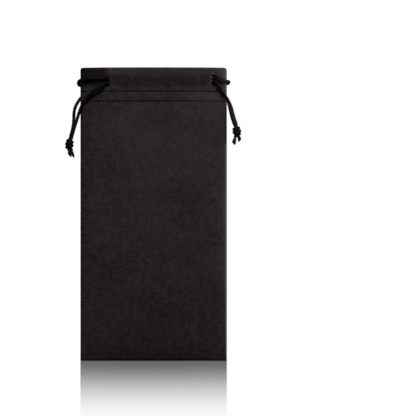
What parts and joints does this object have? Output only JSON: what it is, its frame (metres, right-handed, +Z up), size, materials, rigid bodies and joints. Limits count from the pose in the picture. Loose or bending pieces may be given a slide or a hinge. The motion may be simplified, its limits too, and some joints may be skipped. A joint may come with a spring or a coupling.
{
  "type": "soft pouch glasses case",
  "caption": "Slim soft microfibre drawstring pouch for glasses, with a sewn cord channel round its mouth and knotted cords at both sides.",
  "frame": {"origin": "middle of the bottom edge, on the surface that the pouch stands on", "axes": "+X across the pouch's width to the right, -Y out of its front, +Z up to the mouth"},
  "size_m": [0.1082, 0.0211, 0.18],
  "materials": {
    "fabric": "matte black microfibre with a fine leather-like grain and a soft sheen",
    "thread": "black polyester sewing thread",
    "cord": "black braided polyester cord"
  },
  "bodies": {
    "root": {"front_panel": "fabric", "back_panel": "fabric", "front_upper_stitch": "thread", "front_lower_stitch": "thread", "back_upper_stitch": "thread", "back_lower_stitch": "thread", "left_side_seam": "thread", "right_side_seam": "thread", "bottom_seam": "thread", "left_cord_front_run": "cord", "left_cord_back_run": "cord", "right_cord_front_run": "cord", "right_cord_back_run": "cord"},
    "left_corner": {"right_cord_wrap": "cord"},
    "right_corner": {"left_cord_wrap": "cord"},
    "left_tails": {"left_cord_front_tail": "cord", "left_cord_back_tail": "cord", "left_cord_knot": "cord", "left_cord_front_end": "cord", "left_cord_back_end": "cord"},
    "right_tails": {"right_cord_front_tail": "cord", "right_cord_back_tail": "cord", "right_cord_knot": "cord", "right_cord_front_end": "cord", "right_cord_back_end": "cord"}
  },
  "joints": [
    {"name": "left_gather", "type": "slide", "parent": "root", "child": "left_corner", "axis": [1, 0, 0], "range_m": [0, 0.011], "deforming": ["front_panel", "back_panel", "front_upper_stitch", "front_lower_stitch", "back_upper_stitch", "back_lower_stitch", "left_side_seam", "left_cord_front_run", "left_cord_back_run"]},
    {"name": "right_gather", "type": "slide", "parent": "root", "child": "right_corner", "axis": [-1, 0, 0], "range_m": [0, 0.011], "deforming": ["right_side_seam", "right_cord_front_run", "right_cord_back_run"]},
    {"name": "left_cord_pull", "type": "slide", "parent": "left_corner", "child": "left_tails", "axis": [-0.5, 0, -0.866], "range_m": [0, 0.022]},
    {"name": "right_cord_pull", "type": "slide", "parent": "right_corner", "child": "right_tails", "axis": [0.5, 0, -0.866], "range_m": [0, 0.022]}
  ],
  "couplings": [
    {"joint": "right_gather", "follows": "left_gather", "ratio": 1},
    {"joint": "left_cord_pull", "follows": "left_gather", "ratio": 2},
    {"joint": "right_cord_pull", "follows": "left_gather", "ratio": 2}
  ]
}
